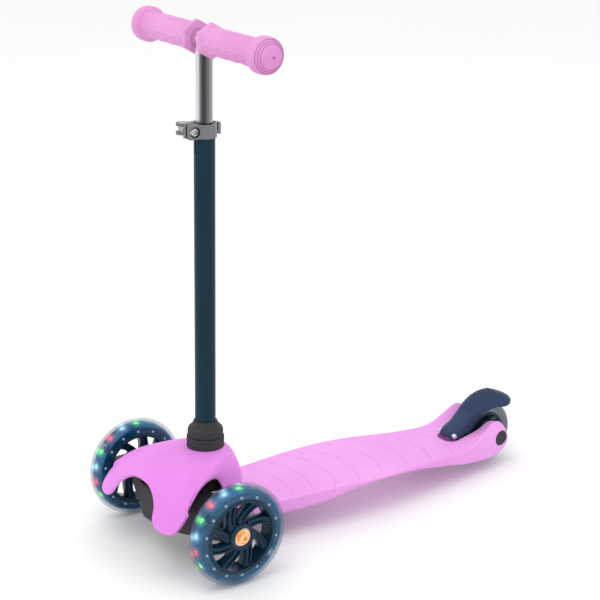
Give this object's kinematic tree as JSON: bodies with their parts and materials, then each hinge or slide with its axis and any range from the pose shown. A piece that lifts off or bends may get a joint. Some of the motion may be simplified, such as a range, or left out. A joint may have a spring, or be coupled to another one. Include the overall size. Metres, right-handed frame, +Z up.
{
  "type": "kick scooter",
  "caption": "Small child's lean-to-steer kick scooter with two front wheels, one rear wheel, a foot brake and a T handlebar that slides and clamps.",
  "frame": {"origin": "on the floor, midway along the overall length and on the mid-plane", "axes": "+Z up, the scooter faces -Y, +X along the wheel axles to the rider's left"},
  "size_m": [0.268, 0.5731, 0.612],
  "materials": {
    "deck_plastic": "fine satin moulded texture",
    "cover_plastic": "fine satin moulded texture",
    "black_plastic": "fine grained",
    "tube_paint": "gloss enamel",
    "chrome": "polished",
    "clamp_metal": "cast and polished",
    "steel": "zinc plated",
    "copper_bolt": "copper coloured plating",
    "bushing_rubber": "moulded",
    "magnet": "nickel plated",
    "rim_plastic": "moulded",
    "clear_tyre": "clear cast polyurethane",
    "light_core": "translucent",
    "led": "clear lens",
    "brake_plastic": "satin moulded",
    "grip_rubber": "soft satin"
  },
  "bodies": {
    "frame": {"deck": "deck_plastic", "front_frame": "black_plastic", "front_cover": "cover_plastic", "deck_screws": "steel", "cover_screws": "steel", "steering_spring_rods": "steel", "base_collar": "black_plastic", "collar_cap": "black_plastic", "lower_tube": "tube_paint", "column_bolt": "steel", "column_nut": "steel", "clamp_collar": "clamp_metal", "clamp_bolt": "steel", "clamp_washer": "clamp_metal", "lever_barrel": "clamp_metal", "kingpin_bolt": "steel", "kingpin_nut": "steel", "kingpin_washers": "steel", "kingpin_bushings": "bushing_rubber", "rear_axle_bolt": "steel", "rear_axle_nut": "steel", "rear_axle_spacers": "steel", "rear_axle_caps": "black_plastic", "brake_pin": "steel", "brake_spring": "steel"},
    "truck": {"truck_beam": "black_plastic", "front_axle_bolts": "copper_bolt", "front_axle_washers": "copper_bolt", "front_axle_nuts": "steel", "magnet_sleeve_left": "magnet", "magnet_sleeve_right": "magnet"},
    "front_wheel_left": {"front_rim_left": "rim_plastic", "front_tyre_left": "clear_tyre", "light_ring_left": "light_core", "leds_left": "led", "front_bearings_left": "steel"},
    "front_wheel_right": {"front_rim_right": "rim_plastic", "front_tyre_right": "clear_tyre", "light_ring_right": "light_core", "leds_right": "led", "front_bearings_right": "steel"},
    "rear_wheel": {"rear_rim": "rim_plastic", "rear_tyre": "clear_tyre", "rear_bearings": "steel"},
    "brake": {"brake_fender": "brake_plastic"},
    "lever": {"clamp_lever": "clamp_metal"},
    "handlebar": {"upper_tube": "chrome", "tube_bush": "black_plastic", "crossbar": "chrome", "grip_left": "grip_rubber", "grip_right": "grip_rubber"}
  },
  "joints": [
    {"name": "lean_steer", "type": "hinge", "parent": "frame", "child": "truck", "pos_m": [0, -0.215, 0.06], "axis": [0, -0.6428, 0.766], "range_deg": [-10, 10], "stiffness_Nm_per_rad": 30},
    {"name": "front_wheel_left_spin", "type": "hinge", "parent": "truck", "child": "front_wheel_left", "pos_m": [0.113, -0.215, 0.06], "axis": [1, 0, 0], "continuous": true},
    {"name": "front_wheel_right_spin", "type": "hinge", "parent": "truck", "child": "front_wheel_right", "pos_m": [-0.113, -0.215, 0.06], "axis": [1, 0, 0], "continuous": true},
    {"name": "rear_wheel_spin", "type": "hinge", "parent": "frame", "child": "rear_wheel", "pos_m": [0, 0.239, 0.04], "axis": [1, 0, 0], "continuous": true},
    {"name": "handlebar_height", "type": "slide", "parent": "frame", "child": "handlebar", "axis": [0, 0.0105, 0.9999], "range_m": [-0.055, 0.12]},
    {"name": "clamp_lever_swing", "type": "hinge", "parent": "frame", "child": "lever", "pos_m": [-0.0184, -0.19824, 0.49265], "axis": [0, 0.0105, 0.9999], "range_deg": [0, 150]},
    {"name": "brake_press", "type": "hinge", "parent": "frame", "child": "brake", "pos_m": [0, 0.182, 0.047], "axis": [-1, 0, 0], "range_deg": [0, 3.5], "stiffness_Nm_per_rad": 3, "springref_deg": -5.73}
  ]
}
